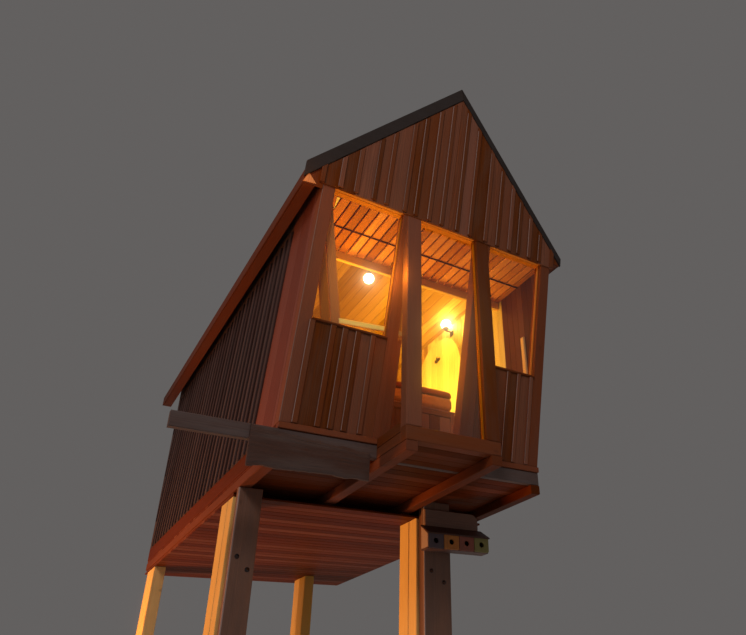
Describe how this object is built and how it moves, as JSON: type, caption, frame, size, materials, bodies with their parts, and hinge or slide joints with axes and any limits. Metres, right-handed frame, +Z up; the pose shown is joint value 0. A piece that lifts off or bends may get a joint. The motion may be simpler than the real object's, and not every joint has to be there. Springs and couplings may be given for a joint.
{
  "type": "tree house",
  "caption": "Gabled wooden tree house cabin on posts, with an outward-leaning front wall, an upright bay window, glazed side windows and a lit room with a slatted loft.",
  "frame": {"origin": "On the ground under the middle of the whole object: half way between its left and right extremes and between its front and rear extremes, at the level of the post feet.", "axes": "X runs right along the front as seen from in front, Y runs inwards from the front to the rear, Z runs up. The front faces -Y."},
  "size_m": [3.52, 5.8992, 7.377],
  "materials": {
    "weathered_boards": "reddish-brown sawn boards, weathered",
    "frame_timber": "grey-brown planed timber",
    "post_timber": "built-up planks, grey-brown, warm where lit",
    "floor_timber": "orange-brown planed timber",
    "inner_timber": "light pine, matt varnish",
    "roof_boards": "dark stained boards",
    "clear_glass": "clear window glass",
    "lamp_glass": "frosted warm white globe",
    "bench_timber": "dark stained",
    "seat_fabric": "woven, pale orange with a red-brown top",
    "pillow_fabric": "woven, cream",
    "sign_timber": "rough grey weathered plank, bare",
    "painted_timber": "painted boards, matt, a colour for each box"
  },
  "bodies": {
    "root": {"post_front_right": "post_timber", "post_front_left": "post_timber", "post_rear_right": "post_timber", "post_rear_left": "post_timber", "nest_board": "post_timber", "joist_right": "floor_timber", "joist_left": "floor_timber", "side_joist_right": "floor_timber", "side_joist_left": "floor_timber", "soffit": "floor_timber", "floor_deck": "floor_timber", "rim_beam": "frame_timber", "bay_beam": "frame_timber", "bay_post_right": "frame_timber", "bay_post_left": "frame_timber", "bay_skirt_right": "floor_timber", "bay_skirt_left": "floor_timber", "bay_floor": "floor_timber", "bay_glass": "clear_glass", "cheek_glass_right": "clear_glass", "cheek_glass_left": "clear_glass", "wall_front_right": "weathered_boards", "wall_front_left": "weathered_boards", "corner_post_right": "frame_timber", "corner_post_left": "frame_timber", "wall_post_right": "frame_timber", "wall_post_left": "frame_timber", "gable_front": "weathered_boards", "window_glass_right": "clear_glass", "window_glass_left": "clear_glass", "wall_right": "weathered_boards", "wall_left": "weathered_boards", "wall_rear": "weathered_boards", "roof_right": "roof_boards", "roof_left": "roof_boards", "barge_boards": "roof_boards", "loft": "inner_timber", "pendant_lamp": "lamp_glass", "wall_lamp": "lamp_glass", "bench": "bench_timber", "bench_cushion": "seat_fabric", "pillow": "pillow_fabric", "arched_board": "inner_timber", "sign_board": "sign_timber", "nest_boxes": "painted_timber"}
  },
  "joints": []
}
